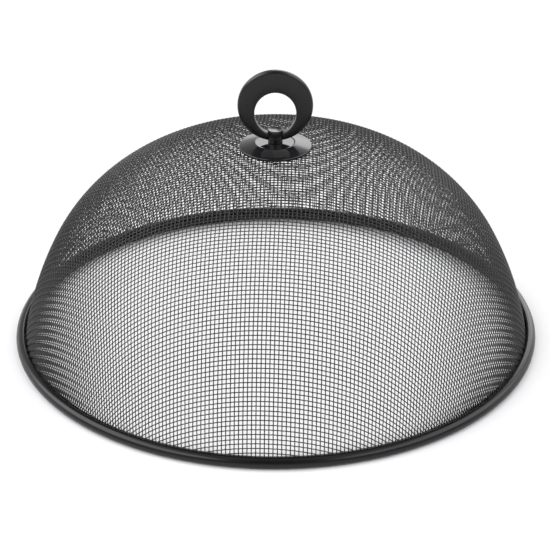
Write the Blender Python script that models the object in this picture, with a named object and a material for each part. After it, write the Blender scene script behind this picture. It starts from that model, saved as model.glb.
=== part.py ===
"""Mesh food cover: a dome of wire cloth in a curled steel rim, with a ring knob clamped to its crown.

Frame: metres, +Z up. The origin is the middle of the face that the rim stands on.
The knob's ring lies in the XZ plane, so its broad side faces -Y and +Y.
"""
import math

import bmesh
import bpy
from mathutils import Vector

MM = 0.001

# Driving dimensions, read off the cover
COVER_R = 177.8 * MM            # outside of the rim, a 14 inch cover
RIM_OUT = 5.30 * MM             # how far the rim stands out past the foot of the cloth
SHOULDER_R = 129.0 * MM         # radius of the shoulder
WALL_R = 226.6 * MM             # radius of the lower wall
FOOT_LEAN = math.radians(10.1)  # lean of the wall from upright, at the table
WALL_END = math.radians(27.1)   # lean where the wall runs into the shoulder
SHOULDER_END = math.radians(78.0)  # lean where the shoulder runs into the crown

# General clearances
TOUCH = 0.30 * MM               # gap between faces that rest on each other

# Cloth
CLOTH_T = 1.60 * MM             # two wires thick
NET_PITCH = 21.0 * MM           # spacing of the wires of the net
WIRE_W = 2.00 * MM              # width of a wire of the net
HEM_LONG = 12.0 * MM            # longest straight run of the hem
HEM_SHORT = 5.0 * MM            # knots nearer than this to the hem are moved onto it
NET_SPARE = 30.0 * MM           # how far the net is laid out past the hem before it is cut
FULL_CELL_SHARE = 0.75          # a cell narrower than this share of a wire stays closed
STRAIGHT_SINE = 0.3             # a corner with a smaller sine counts as straight

# Rim, a curled strip
STRIP_T = 0.80 * MM
RIM_H = 7.40 * MM               # height of the band
LEG_H = 4.80 * MM               # height of the inner leg
RETURN_LOW = 2.40 * MM          # lower end of the strip's curled edge
RIM_CORNER = 3.20 * MM          # outer bends, at the middle of the strip
RIM_BEND = 1.00 * MM            # inner bends, at the middle of the strip
RIM_STEPS = 56

# Base disc of the knob
DISC_R = 23.9 * MM
DISC_EDGE = 1.60 * MM           # height of the disc's upright edge
DISC_RISE = 2.35 * MM           # rise of the cone from the edge to the flat
DISC_ROUND = 0.30 * MM          # rounding of its upper edge
FLAT_R = 12.8 * MM              # flat middle of the disc
FLAT_DIP = 0.15 * MM            # how far the flat lies under the cone's inner edge
FLAT_SLOPE = 1.00 * MM          # width of the slope round the flat
DISC_WALL = 1.50 * MM           # wall of the disc over its hollow underside
DISC_FOOT = 2.40 * MM           # width of the ring that the disc stands on
BOSS_R = 12.0 * MM              # middle boss that presses on the cloth
DISC_STEPS = 48

# Post
POST_R = 4.80 * MM
POST_H = 8.80 * MM              # from its foot to the edge of its top
POST_DISH = 0.60 * MM           # depth of its dished top
POST_STEPS = 36

# Ring
RING_R = 24.7 * MM
RING_T = 5.00 * MM
RING_LIFT = 1.35 * MM           # lowest point of the ring over the disc's flat
HOLE_HALF_W = 13.7 * MM
HOLE_HALF_H = 14.8 * MM
HOLE_DROP = 5.25 * MM           # middle of the hole under the middle of the ring
RING_ROUND = 2.00 * MM          # rounding of the ring's outer edges
HOLE_EDGE = 0.40 * MM           # bevel of the hole's edges
RING_STEPS = 56

# Fastener under the crown
SCREW_R = 2.50 * MM
SCREW_IN_POST = 5.20 * MM       # how far the screw reaches into the post
HEAD_R = 4.70 * MM
HEAD_H = 2.90 * MM
HEAD_DOME = 1.10 * MM           # rise of the pan head's rounded top
HOLE_PLAY = 0.35 * MM           # play of the screw in every hole
WASHER_R = 17.0 * MM
WASHER_T = 1.20 * MM
WASHER_EDGE = 0.40 * MM
SPRING_R = 4.60 * MM
SPRING_T = 1.00 * MM
SPRING_CUT = 1.10 * MM          # opening of the split washer
FASTENER_STEPS = 28


def fresh_scene():
    for old in list(bpy.data.objects):
        bpy.data.objects.remove(old, do_unlink=True)


def material(name, colour, metallic, roughness):
    made = bpy.data.materials.new(name)
    made.use_nodes = True
    shader = made.node_tree.nodes["Principled BSDF"]
    shader.inputs["Base Color"].default_value = (*colour, 1.0)
    shader.inputs["Metallic"].default_value = metallic
    shader.inputs["Roughness"].default_value = roughness
    made.diffuse_color = (*colour, 1.0)
    return made


def add_object(name, bm, surface, sharp=math.radians(35.0)):
    bmesh.ops.recalc_face_normals(bm, faces=bm.faces[:])
    mesh = bpy.data.meshes.new(name)
    bm.to_mesh(mesh)
    bm.free()
    mesh.materials.append(surface)
    mesh.shade_smooth()
    mesh.set_sharp_from_angle(angle=sharp)
    made = bpy.data.objects.new(name, mesh)
    bpy.context.scene.collection.objects.link(made)
    return made


def turned(outline, steps):
    """Turn a closed outline of (radius, height) pairs round the Z axis; radius 0 makes a pole."""
    bm = bmesh.new()
    rings = []
    for radius, height in outline:
        if radius == 0:
            rings.append([bm.verts.new((0, 0, height))])
            continue
        ring = []
        for step in range(steps):
            angle = math.tau * step / steps
            ring.append(bm.verts.new((radius * math.cos(angle), radius * math.sin(angle), height)))
        rings.append(ring)
    count = len(outline)
    for index in range(count):
        low = rings[index]
        high = rings[(index + 1) % count]
        if len(low) == 1 and len(high) == 1:
            continue
        for step in range(steps):
            nxt = (step + 1) % steps
            if len(low) == 1:
                bm.faces.new((low[0], high[step], high[nxt]))
            elif len(high) == 1:
                bm.faces.new((low[step], low[nxt], high[0]))
            else:
                bm.faces.new((low[step], low[nxt], high[nxt], high[step]))
    return bm


def arc_points(centre, radius, start, end, steps):
    """Points of an arc in the (radius, height) plane, both ends included."""
    points = []
    for step in range(steps + 1):
        angle = start + (end - start) * step / steps
        points.append((centre[0] + radius * math.cos(angle), centre[1] + radius * math.sin(angle)))
    return points


# The cloth's outline: three arcs that run into each other

class DomeLine:
    """Outline of the dome, set in from the cloth's outer face; lengths run from the crown down."""

    def __init__(self, inset):
        foot = (FOOT_R, 0.0)
        self.arcs = []
        for size, start, end in ((WALL_R, FOOT_LEAN, WALL_END), (SHOULDER_R, WALL_END, SHOULDER_END)):
            centre = (foot[0] - size * math.cos(start), foot[1] - size * math.sin(start))
            foot = (centre[0] + size * math.cos(end), centre[1] + size * math.sin(end))
            self.arcs.insert(0, (centre, size - inset, end))
        crown = foot[0] / math.cos(SHOULDER_END)
        centre = (0.0, foot[1] - crown * math.sin(SHOULDER_END))
        self.arcs.insert(0, (centre, crown - inset, math.pi / 2))

    def at(self, length):
        """Radius, height and slope angle at a length along the outline."""
        left = length
        for index, (centre, size, top) in enumerate(self.arcs):
            low = self.arcs[index + 1][2] if index + 1 < len(self.arcs) else -math.pi / 2
            run = size * (top - low)
            if left <= run:
                break
            left -= run
        angle = top - left / size
        return centre[0] + size * math.cos(angle), centre[1] + size * math.sin(angle), angle

    def point(self, length, turn):
        radius, height, _ = self.at(length)
        return Vector((radius * math.cos(turn), radius * math.sin(turn), height))

    def height(self, radius):
        """Height over a radius on the crown or the shoulder."""
        crown, shoulder, _ = self.arcs
        centre, size, _ = crown if radius <= crown[1] * math.cos(SHOULDER_END) else shoulder
        return centre[1] + math.sqrt(size * size - (radius - centre[0]) ** 2)

    def radius(self, height):
        """Radius of the lower wall at a height."""
        centre, size, _ = self.arcs[2]
        return centre[0] + math.sqrt(size * size - (height - centre[1]) ** 2)

    def length_at(self, height):
        """Length along the outline down to a height on the lower wall."""
        centre, size, top = self.arcs[2]
        run = sum(arc[1] * (arc[2] - nxt[2]) for arc, nxt in zip(self.arcs, self.arcs[1:]))
        return run + size * (top - math.asin((height - centre[1]) / size))


FOOT_R = COVER_R - RIM_OUT      # outside of the cloth where it would meet the table
CLOTH_TOP = DomeLine(0.0)
CLOTH_MIDDLE = DomeLine(CLOTH_T / 2)
CLOTH_UNDER = DomeLine(CLOTH_T)

# Heights and radii that follow from the ones above
HEM_Z = STRIP_T + TOUCH
WIRE_SAG = NET_PITCH ** 2 / (8 * FOOT_R)
FACET_SAG = COVER_R * (1 - math.cos(math.pi / RIM_STEPS))
LEG_R = CLOTH_UNDER.radius(LEG_H) - WIRE_SAG - TOUCH - STRIP_T / 2
RETURN_R = CLOTH_TOP.radius(RETURN_LOW) + TOUCH + FACET_SAG + STRIP_T / 2
BORE_R = SCREW_R + HOLE_PLAY
BOSS_Z = CLOTH_TOP.height(0) + TOUCH
DISC_Z = CLOTH_TOP.height(DISC_R) + TOUCH
EDGE_Z = DISC_Z + DISC_EDGE
CONE_Z = EDGE_Z + DISC_RISE
FLAT_Z = CONE_Z - FLAT_DIP
POST_Z = FLAT_Z + TOUCH
POST_TOP = POST_Z + POST_H
SCREW_TOP = POST_Z + SCREW_IN_POST
RING_Z = FLAT_Z + RING_LIFT + RING_R
HOLE_Z = RING_Z - HOLE_DROP
SPRING_TOP = CLOTH_UNDER.height(SPRING_R) - WASHER_T - 2 * TOUCH
HEAD_TOP = SPRING_TOP - SPRING_T - TOUCH


# The cloth, a net that keeps the pitch of its wires when it is pressed

def length_for(test, low, high):
    """The length where a growing test turns true, by halving."""
    for _ in range(48):
        middle = (low + high) / 2
        if test(middle):
            high = middle
        else:
            low = middle
    return high


def next_knot(line, before, beside, corner, pitch):
    """Knot one pitch from two known knots and across the cell from a third, as (length, turn)."""
    first = line.point(*before)
    second = line.point(*beside)
    guess = first + second - line.point(*corner)
    length = before[0] + beside[0] - corner[0]
    turn = math.atan2(guess.y, guess.x)
    step = pitch * 1e-4
    for _ in range(30):
        here = line.point(length, turn)
        arm = max(math.hypot(here.x, here.y), pitch)
        miss_a = (here - first).length - pitch
        miss_b = (here - second).length - pitch
        if abs(miss_a) + abs(miss_b) < pitch * 1e-7:
            break
        down = line.point(length + step, turn)
        side = line.point(length, turn + step / arm)
        aa = ((down - first).length - pitch - miss_a) / step
        ab = ((side - first).length - pitch - miss_a) / step
        ba = ((down - second).length - pitch - miss_b) / step
        bb = ((side - second).length - pitch - miss_b) / step
        det = aa * bb - ab * ba
        length -= (bb * miss_a - ab * miss_b) / det
        turn -= (aa * miss_b - ba * miss_a) / det / arm
    return length, turn


def quarter_net(line, pitch, reach):
    """Knots of a quarter of the net as (length, turn), keyed by row and column from the crown."""
    half = pitch / 2

    def beside_axis(length):
        return length, math.asin(min(half / line.at(length)[0], 1.0))

    first = length_for(lambda length: line.at(length)[0] >= half * math.sqrt(2), half, 2 * pitch)
    knots = {(0, 0): (first, math.pi / 4)}
    count = 0
    while knots[(count, 0)][0] < reach:
        last = knots[(count, 0)]
        origin = line.point(*last)
        length = length_for(lambda length: (line.point(*beside_axis(length)) - origin).length >= pitch,
                            last[0], last[0] + 2 * pitch)
        count += 1
        knots[(count, 0)] = beside_axis(length)
        knots[(0, count)] = (length, math.pi / 2 - beside_axis(length)[1])
    for i in range(1, count + 1):
        for j in range(1, count + 1):
            around = [knots.get(key) for key in ((i - 1, j), (i, j - 1), (i - 1, j - 1))]
            if None in around or min(around[0][0], around[1][0]) > reach:
                continue
            knots[(i, j)] = next_knot(line, *around, pitch)
    return knots


def net_cells(line, pitch, reach):
    """The net as four-sided cells on the middle of the cloth, mirrored out of its quarter."""
    quarter = quarter_net(line, pitch, reach)
    bm = bmesh.new()
    verts = {}

    def knot(i, j):
        if (i, j) not in verts:
            found = quarter.get((i if i >= 0 else -i - 1, j if j >= 0 else -j - 1))
            if found is None:
                return None
            at = line.point(*found)
            verts[(i, j)] = bm.verts.new((at.x if i >= 0 else -at.x, at.y if j >= 0 else -at.y, at.z))
        return verts[(i, j)]

    most = max(i for i, _ in quarter)
    for i in range(-most - 1, most):
        for j in range(-most - 1, most):
            corners = [knot(i, j), knot(i + 1, j), knot(i + 1, j + 1), knot(i, j + 1)]
            if None not in corners:
                bm.faces.new(corners)
    return bm


def on_hem(vert, radius):
    scale = radius / math.hypot(vert.co.x, vert.co.y)
    vert.co = (vert.co.x * scale, vert.co.y * scale, HEM_Z)


def cut_to_hem(bm, radius):
    """Cut the net level at the hem, with no slivers and a round edge."""
    for vert in bm.verts:
        if abs(vert.co.z - HEM_Z) < HEM_SHORT:
            on_hem(vert, radius)
    everything = bm.verts[:] + bm.edges[:] + bm.faces[:]
    bmesh.ops.bisect_plane(bm, geom=everything, dist=TOUCH / 100, plane_co=(0, 0, HEM_Z),
                           plane_no=(0, 0, -1), clear_outer=True)
    loose = [edge for edge in bm.edges if not edge.link_faces]
    bmesh.ops.delete(bm, geom=loose, context="EDGES")
    loose = [vert for vert in bm.verts if not vert.link_faces]
    bmesh.ops.delete(bm, geom=loose, context="VERTS")
    rim_verts = [vert for vert in bm.verts if vert.is_boundary]
    bmesh.ops.remove_doubles(bm, verts=rim_verts, dist=HEM_SHORT)
    long_edges = [edge for edge in bm.edges if edge.is_boundary and edge.calc_length() > HEM_LONG]
    bmesh.ops.subdivide_edges(bm, edges=long_edges, cuts=1)
    for vert in bm.verts:
        if vert.is_boundary:
            on_hem(vert, radius)


def inset_corner(loop, half):
    """The corner of a cell moved in from both of its wires."""
    at = loop.vert.co
    back = (loop.link_loop_prev.vert.co - at).normalized()
    ahead = (loop.link_loop_next.vert.co - at).normalized()
    turn = back.cross(ahead).length
    if turn > STRAIGHT_SINE:
        return at + (back + ahead) * (half / turn)
    inward = loop.face.normal.cross(ahead - back).normalized()
    return at + inward * half


def cloth_normal(line, vert):
    """Outward direction of the cloth at a knot; level along the hem."""
    radius = math.hypot(vert.co.x, vert.co.y)
    if vert.is_boundary:
        return Vector((vert.co.x / radius, vert.co.y / radius, 0.0))
    length = length_for(lambda length: line.at(length)[1] <= vert.co.z, 0.0, line.length_at(0.0))
    angle = line.at(length)[2]
    out = math.cos(angle) / radius
    return Vector((vert.co.x * out, vert.co.y * out, math.sin(angle)))


def wires_from_cells(cells, line):
    """Give every side of every cell half a wire of four-sided section; the rest of the cell stays open."""
    solid = bmesh.new()
    outer = {}
    inner = {}
    for vert in cells.verts:
        push = cloth_normal(line, vert) * (CLOTH_T / 2)
        outer[vert] = solid.verts.new(vert.co + push)
        inner[vert] = solid.verts.new(vert.co - push)
    for face in cells.faces:
        spread = 2 * face.calc_area() / face.calc_perimeter()
        if spread < WIRE_W * FULL_CELL_SHARE:
            solid.faces.new([outer[loop.vert] for loop in face.loops])
            solid.faces.new([inner[loop.vert] for loop in reversed(face.loops)])
            continue
        middle = {loop: solid.verts.new(inset_corner(loop, WIRE_W / 2)) for loop in face.loops}
        for loop in face.loops:
            nxt = loop.link_loop_next
            solid.faces.new((outer[loop.vert], outer[nxt.vert], middle[nxt], middle[loop]))
            solid.faces.new((middle[loop], middle[nxt], inner[nxt.vert], inner[loop.vert]))
    for edge in cells.edges:
        if edge.is_boundary:
            loop = edge.link_loops[0]
            a = loop.vert
            b = loop.link_loop_next.vert
            solid.faces.new((outer[b], outer[a], inner[a], inner[b]))
    return solid


def mesh_dome(surface):
    line = CLOTH_MIDDLE
    cells = net_cells(line, NET_PITCH, line.length_at(HEM_Z) + NET_SPARE)
    cut_to_hem(cells, line.radius(HEM_Z))
    bmesh.ops.recalc_face_normals(cells, faces=cells.faces[:])
    cells.faces.ensure_lookup_table()
    top = max(cells.faces, key=lambda face: face.calc_center_median().z)
    if top.normal.z < 0:
        bmesh.ops.reverse_faces(cells, faces=cells.faces[:])
    cells.normal_update()
    solid = wires_from_cells(cells, line)
    cells.free()
    return add_object("mesh_dome", solid, surface)


# The rim: one strip, bent up inside the cloth, round the band and back down beside it

def rim_band(surface):
    half = STRIP_T / 2
    low = half
    high = RIM_H - half
    out = COVER_R - half
    line = [(LEG_R, LEG_H)]
    line += arc_points((LEG_R + RIM_BEND, low + RIM_BEND), RIM_BEND, math.pi, math.pi * 1.5, 2)
    line += arc_points((out - RIM_CORNER, low + RIM_CORNER), RIM_CORNER, -math.pi / 2, 0, 3)
    line += arc_points((out - RIM_CORNER, high - RIM_CORNER), RIM_CORNER, 0, math.pi / 2, 3)
    # The curled edge leans as the cloth beside it does
    bend_z = high - RIM_BEND
    rise = bend_z - RIM_BEND * math.sin(FOOT_LEAN) - RETURN_LOW
    bend_r = RETURN_R - rise * math.tan(FOOT_LEAN) + RIM_BEND * math.cos(FOOT_LEAN)
    line += arc_points((bend_r, bend_z), RIM_BEND, math.pi / 2, math.pi + FOOT_LEAN, 2)
    line.append((RETURN_R, RETURN_LOW))
    mesh = bpy.data.meshes.new("rim_band")
    mesh.from_pydata([(radius, 0, height) for radius, height in line],
                     [(index, index + 1) for index in range(len(line) - 1)], [])
    mesh.materials.append(surface)
    made = bpy.data.objects.new("rim_band", mesh)
    bpy.context.scene.collection.objects.link(made)
    turn = made.modifiers.new("turn", "SCREW")
    turn.axis = "Z"
    turn.angle = math.tau
    turn.steps = RIM_STEPS
    turn.render_steps = RIM_STEPS
    turn.use_merge_vertices = True
    turn.merge_threshold = TOUCH / 300
    turn.use_smooth_shade = True
    strip = made.modifiers.new("strip", "SOLIDIFY")
    strip.thickness = STRIP_T
    strip.offset = 0
    strip.use_even_offset = True
    return made


# The knob

def base_disc(surface):
    lip = FLAT_R + FLAT_SLOPE / 2
    slope = DISC_RISE / (DISC_R - DISC_ROUND - lip)
    under = DISC_R - DISC_FOOT
    roof = CONE_Z - DISC_WALL
    outline = [
        (BORE_R, BOSS_Z),
        (BOSS_R, BOSS_Z),
        (BOSS_R, roof),
        (FLAT_R, roof),
        (under, roof - slope * (under - FLAT_R)),
        (under, DISC_Z),
        (DISC_R, DISC_Z),
        (DISC_R, EDGE_Z - DISC_ROUND),
        (DISC_R - DISC_ROUND / 3, EDGE_Z - DISC_ROUND / 3),
        (DISC_R - DISC_ROUND, EDGE_Z),
        (lip, CONE_Z),
        (FLAT_R, FLAT_Z + FLAT_DIP / 3),
        (FLAT_R - FLAT_SLOPE / 2, FLAT_Z),
        (BORE_R, FLAT_Z),
    ]
    return add_object("base_disc", turned(outline, DISC_STEPS), surface, math.radians(28.0))


def knob_post(surface):
    bevel = POST_DISH / 2
    lip = POST_R - bevel
    sweep = (lip ** 2 + POST_DISH ** 2) / (2 * POST_DISH)
    edge = math.asin(lip / sweep)
    outline = [(BORE_R, POST_Z), (POST_R, POST_Z), (POST_R, POST_TOP - bevel)]
    outline += arc_points((0, POST_TOP - POST_DISH + sweep), sweep, edge - math.pi / 2, -math.pi / 2, 3)[:-1]
    outline += [(0, POST_TOP - POST_DISH), (0, SCREW_TOP + TOUCH), (BORE_R, SCREW_TOP + TOUCH)]
    return add_object("knob_post", turned(outline, POST_STEPS), surface)


def ring_section(angle):
    """Rounded section of the ring where a spoke at an angle crosses it."""
    outer = Vector((RING_R * math.cos(angle), 0, RING_Z + RING_R * math.sin(angle)))
    inner = Vector((HOLE_HALF_W * math.cos(angle), 0, HOLE_Z + HOLE_HALF_H * math.sin(angle)))
    along = (outer - inner).normalized()
    across = Vector((0, 1, 0))
    section = []
    corners = (
        (outer, -1, 1, 0.0, RING_ROUND, 3),
        (inner, 1, 1, 0.5, HOLE_EDGE, 1),
        (inner, 1, -1, 1.0, HOLE_EDGE, 1),
        (outer, -1, -1, 1.5, RING_ROUND, 3),
    )
    for corner, inward, side, start, size, steps in corners:
        centre = corner + along * (inward * size) + across * (side * (RING_T / 2 - size))
        for step in range(steps + 1):
            turn = math.pi * (start + step / (2 * steps))
            section.append(centre + (along * math.cos(turn) + across * math.sin(turn)) * size)
    return section


def swept(sections, closed):
    """A skin through sections of equal length, round to the first one again or with both ends filled."""
    bm = bmesh.new()
    rings = [[bm.verts.new(point) for point in section] for section in sections]
    pairs = list(zip(rings, rings[1:]))
    if closed:
        pairs.append((rings[-1], rings[0]))
    else:
        bm.faces.new(rings[0])
        bm.faces.new(list(reversed(rings[-1])))
    for first, second in pairs:
        for index in range(len(first)):
            nxt = (index + 1) % len(first)
            bm.faces.new((first[index], second[index], second[nxt], first[nxt]))
    return bm


def grip_ring(surface):
    sections = [ring_section(math.tau * (step + 0.5) / RING_STEPS) for step in range(RING_STEPS)]
    ring = add_object("grip_ring", swept(sections, True), surface)
    radius = (POST_R + TOUCH) / math.cos(math.pi / POST_STEPS)
    low = RING_Z - RING_R - RING_T
    high = HOLE_Z - HOLE_HALF_H + RING_T
    bm = turned([(0, low), (radius, low), (radius, high), (0, high)], POST_STEPS)
    cutter = add_object("post_cutter", bm, surface)
    cutter.hide_render = True
    cutter.display_type = "WIRE"
    seat = ring.modifiers.new("seat on the post", "BOOLEAN")
    seat.operation = "DIFFERENCE"
    seat.solver = "EXACT"
    seat.object = cutter
    return ring


# The fastener under the crown

def backing_washer(surface):
    radii = [BORE_R, WASHER_R / 2, WASHER_R - WASHER_EDGE]
    top = [(radius, CLOTH_UNDER.height(radius) - TOUCH) for radius in radii]
    edge = CLOTH_UNDER.height(WASHER_R) - TOUCH
    outline = top + [(WASHER_R, edge - WASHER_EDGE), (WASHER_R, edge - WASHER_T + WASHER_EDGE / 2)]
    outline += [(radius, height - WASHER_T) for radius, height in reversed(top)]
    return add_object("backing_washer", turned(outline, FASTENER_STEPS), surface)


def lock_washer(surface):
    cut = SPRING_CUT / (SPRING_R + BORE_R)
    sections = []
    for step in range(FASTENER_STEPS + 1):
        angle = cut + (math.tau - 2 * cut) * step / FASTENER_STEPS
        corners = ((BORE_R, SPRING_TOP - SPRING_T), (SPRING_R, SPRING_TOP - SPRING_T),
                   (SPRING_R, SPRING_TOP), (BORE_R, SPRING_TOP))
        sections.append([(radius * math.cos(angle), radius * math.sin(angle), height)
                         for radius, height in corners])
    return add_object("lock_washer", swept(sections, False), surface)


def clamp_screw(surface):
    rise = (HEAD_R ** 2 + HEAD_DOME ** 2) / (2 * HEAD_DOME)
    edge = math.asin(HEAD_R / rise)
    low = HEAD_TOP - HEAD_H
    chamfer = SCREW_R / 6
    outline = [(0, low)]
    outline += arc_points((0, low + rise), rise, -math.pi / 2, -math.pi / 2 + edge, 4)[1:]
    outline += [(HEAD_R, HEAD_TOP), (SCREW_R, HEAD_TOP), (SCREW_R, SCREW_TOP - chamfer),
                (SCREW_R - chamfer, SCREW_TOP), (0, SCREW_TOP)]
    return add_object("clamp_screw", turned(outline, FASTENER_STEPS), surface)


def main():
    fresh_scene()
    coat = material("black wire coating", (0.018, 0.018, 0.020), 0.0, 0.42)
    rim_coat = material("black rim enamel", (0.016, 0.016, 0.018), 0.0, 0.28)
    ring_coat = material("black ring enamel", (0.022, 0.022, 0.024), 0.0, 0.40)
    disc_coat = material("black disc lacquer", (0.014, 0.014, 0.015), 0.0, 0.10)
    post_coat = material("black post enamel", (0.018, 0.018, 0.019), 0.0, 0.25)
    zinc = material("zinc plate", (0.55, 0.55, 0.53), 1.0, 0.35)
    screw_zinc = material("zinc plate of the screw", (0.60, 0.60, 0.58), 1.0, 0.30)
    spring_steel = material("spring steel", (0.20, 0.20, 0.20), 1.0, 0.45)
    pieces = [
        mesh_dome(coat),
        rim_band(rim_coat),
        base_disc(disc_coat),
        knob_post(post_coat),
        grip_ring(ring_coat),
        backing_washer(zinc),
        lock_washer(spring_steel),
        clamp_screw(screw_zinc),
    ]
    cover = bpy.data.objects.new("cover", None)
    bpy.context.scene.collection.objects.link(cover)
    for piece in pieces:
        piece.parent = cover


main()
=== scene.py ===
"""Mesh food cover: woven wire dome in a curled steel rim, with a ring knob on its crown.

Laid out as an add-on and run as a script. Metres, +Z up; the camera looks along +Y.
"""
import math

import bmesh
import bpy
import numpy as np
from bpy.props import FloatProperty, FloatVectorProperty, IntProperty, PointerProperty
from mathutils import Matrix, Vector


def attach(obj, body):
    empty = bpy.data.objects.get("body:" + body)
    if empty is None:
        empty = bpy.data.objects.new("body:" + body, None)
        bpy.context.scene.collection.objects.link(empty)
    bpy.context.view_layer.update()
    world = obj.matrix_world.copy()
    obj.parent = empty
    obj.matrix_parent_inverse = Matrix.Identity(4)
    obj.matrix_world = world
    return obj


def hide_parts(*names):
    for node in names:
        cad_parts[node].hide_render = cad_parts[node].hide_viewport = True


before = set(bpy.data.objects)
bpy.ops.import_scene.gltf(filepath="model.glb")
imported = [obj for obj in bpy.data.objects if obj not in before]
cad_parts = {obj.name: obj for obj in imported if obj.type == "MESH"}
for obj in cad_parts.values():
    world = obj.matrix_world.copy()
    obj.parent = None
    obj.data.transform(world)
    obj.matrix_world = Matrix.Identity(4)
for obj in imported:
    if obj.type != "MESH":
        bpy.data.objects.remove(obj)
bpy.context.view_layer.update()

bl_info = {
    "name": "Mesh food cover",
    "version": (1, 0, 0),
    "blender": (4, 5, 0),
    "location": "View3D > Sidebar > Food cover",
    "description": "Builds a wire mesh food cover and its studio, piece by piece",
    "category": "Add Mesh",
}

MM = 0.001

# The dome's outline, as in the solids
COVER_R = 177.8 * MM            # outside of the rim
RIM_OUT = 5.30 * MM             # how far the rim stands out past the foot of the cloth
WALL_R = 226.6 * MM             # radius of the lower wall
SHOULDER_R = 129.0 * MM         # radius of the shoulder
FOOT_LEAN = math.radians(10.1)
WALL_END = math.radians(27.1)
SHOULDER_END = math.radians(78.0)
FOOT_R = COVER_R - RIM_OUT
TOUCH = 0.30 * MM               # gap between faces that rest on each other

# Rim
STRIP_T = 0.80 * MM
RIM_H = 7.40 * MM
LEG_R = 168.94 * MM             # middle of the inner leg
LEG_H = 4.80 * MM
RETURN_R = 173.04 * MM          # middle of the curled edge beside the cloth
RETURN_LOW = 2.40 * MM

# Cloth
CLOTH_T = 1.60 * MM
HEM_Z = STRIP_T + TOUCH

# Base disc
DISC_R = 23.9 * MM
DISC_EDGE = 1.60 * MM
DISC_RISE = 2.35 * MM
FLAT_R = 12.8 * MM
FLAT_DIP = 0.15 * MM            # how far the flat lies under the cone's inner edge
FLAT_SLOPE = 1.00 * MM
DISC_WALL = 1.50 * MM
DISC_FOOT = 2.40 * MM
BOSS_R = 12.0 * MM

# Post and ring
POST_R = 4.80 * MM
POST_H = 8.80 * MM
POST_DISH = 0.60 * MM           # depth of its dished top
RING_R = 24.7 * MM
RING_T = 5.00 * MM
RING_LIFT = 1.35 * MM
HOLE_HALF_W = 13.7 * MM
HOLE_HALF_H = 14.8 * MM
HOLE_DROP = 5.25 * MM

# Fastener
SCREW_R = 2.50 * MM
SCREW_IN_POST = 5.20 * MM
HEAD_R = 4.70 * MM
HEAD_H = 2.90 * MM
HEAD_DOME = 1.10 * MM
HOLE_PLAY = 0.35 * MM
WASHER_R = 17.0 * MM
WASHER_T = 1.20 * MM
WASHER_EDGE = 0.40 * MM
SPRING_R = 4.60 * MM
SPRING_T = 1.00 * MM
SPRING_CUT = 1.10 * MM

# Rounded edges of the finished pieces
LEG_BEND = 1.00 * MM            # bends at the rim's inner leg and curled edge, at the middle of the strip
DISC_EDGE_ROUND = 0.45 * MM
DISC_ROUND = 0.20 * MM
POST_ROUND = 0.30 * MM
SPRING_ROUND = 0.12 * MM
SCREW_ROUND = 0.40 * MM
WASHER_TOP_ROUND = WASHER_EDGE * 0.9
WASHER_LOW_ROUND = WASHER_EDGE * 0.5
CROSS_ARM = (4.6, 0.9, 3.0)     # long, wide and twice as deep as an arm of the cross recess, in millimetres

# Steps round the Z axis, and what counts as one place
RIM_STEPS = 288
WASHER_STEPS = 96
SPRING_STEPS = 64
SCREW_STEPS = 64
WELD = MM / 500
SAME_PLACE = MM / 100


def linear(code):
    """An sRGB hex colour as linear red, green and blue."""
    parts = [int(code[at:at + 2], 16) / 255 for at in (1, 3, 5)]
    return tuple(part / 12.92 if part <= 0.04045 else ((part + 0.055) / 1.055) ** 2.4 for part in parts)


# What a user would change

class CoverSizes(bpy.types.PropertyGroup):
    wire_pitch: FloatProperty(
        name="Wire pitch", description="Spacing of the wires of the cloth", default=2.67 * MM,
        min=1.5 * MM, max=8 * MM, precision=5, unit="LENGTH", subtype="DISTANCE")
    wire_thickness: FloatProperty(
        name="Wire thickness", description="Thickness of one coated wire at the crown", default=0.60 * MM,
        min=0.2 * MM, max=0.8 * MM, precision=5, unit="LENGTH", subtype="DISTANCE")
    coat_growth: FloatProperty(
        name="Coat growth", description="How much thicker the dipped coat makes a wire at the foot",
        default=0.10, min=0.0, max=0.3, subtype="FACTOR")
    pressed_stretch: FloatProperty(
        name="Stretch", description="How much the press stretched the cloth at its foot",
        default=0.14, min=0.0, max=0.25, subtype="FACTOR")
    cloth_turn: FloatProperty(
        name="Cloth turn", description="Turn of the wires' directions about the upright axis",
        default=math.radians(-2.9), min=-math.pi, max=math.pi, subtype="ANGLE")
    wire_wander: FloatProperty(
        name="Wander", description="How far a wire strays from its place", default=0.01 * MM,
        min=0.0, max=0.3 * MM, precision=5, unit="LENGTH", subtype="DISTANCE")
    rim_corner: FloatProperty(
        name="Rim corner", description="Outer bends of the rim, at the middle of the strip",
        default=3.2 * MM, min=0.8 * MM, max=3.3 * MM, precision=5, unit="LENGTH", subtype="DISTANCE")
    ring_round: FloatProperty(
        name="Ring rounding", description="Rounding of the ring's outer edges", default=2.0 * MM,
        min=0.2 * MM, max=2.4 * MM, precision=5, unit="LENGTH", subtype="DISTANCE")
    hole_edge: FloatProperty(
        name="Hole edge", description="Rounding of the edges of the ring's hole", default=0.6 * MM,
        min=0.2 * MM, max=1.5 * MM, precision=5, unit="LENGTH", subtype="DISTANCE")
    round_steps: IntProperty(
        name="Round steps", description="Sides of the round pieces of the knob", default=144,
        min=48, max=360)


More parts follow.
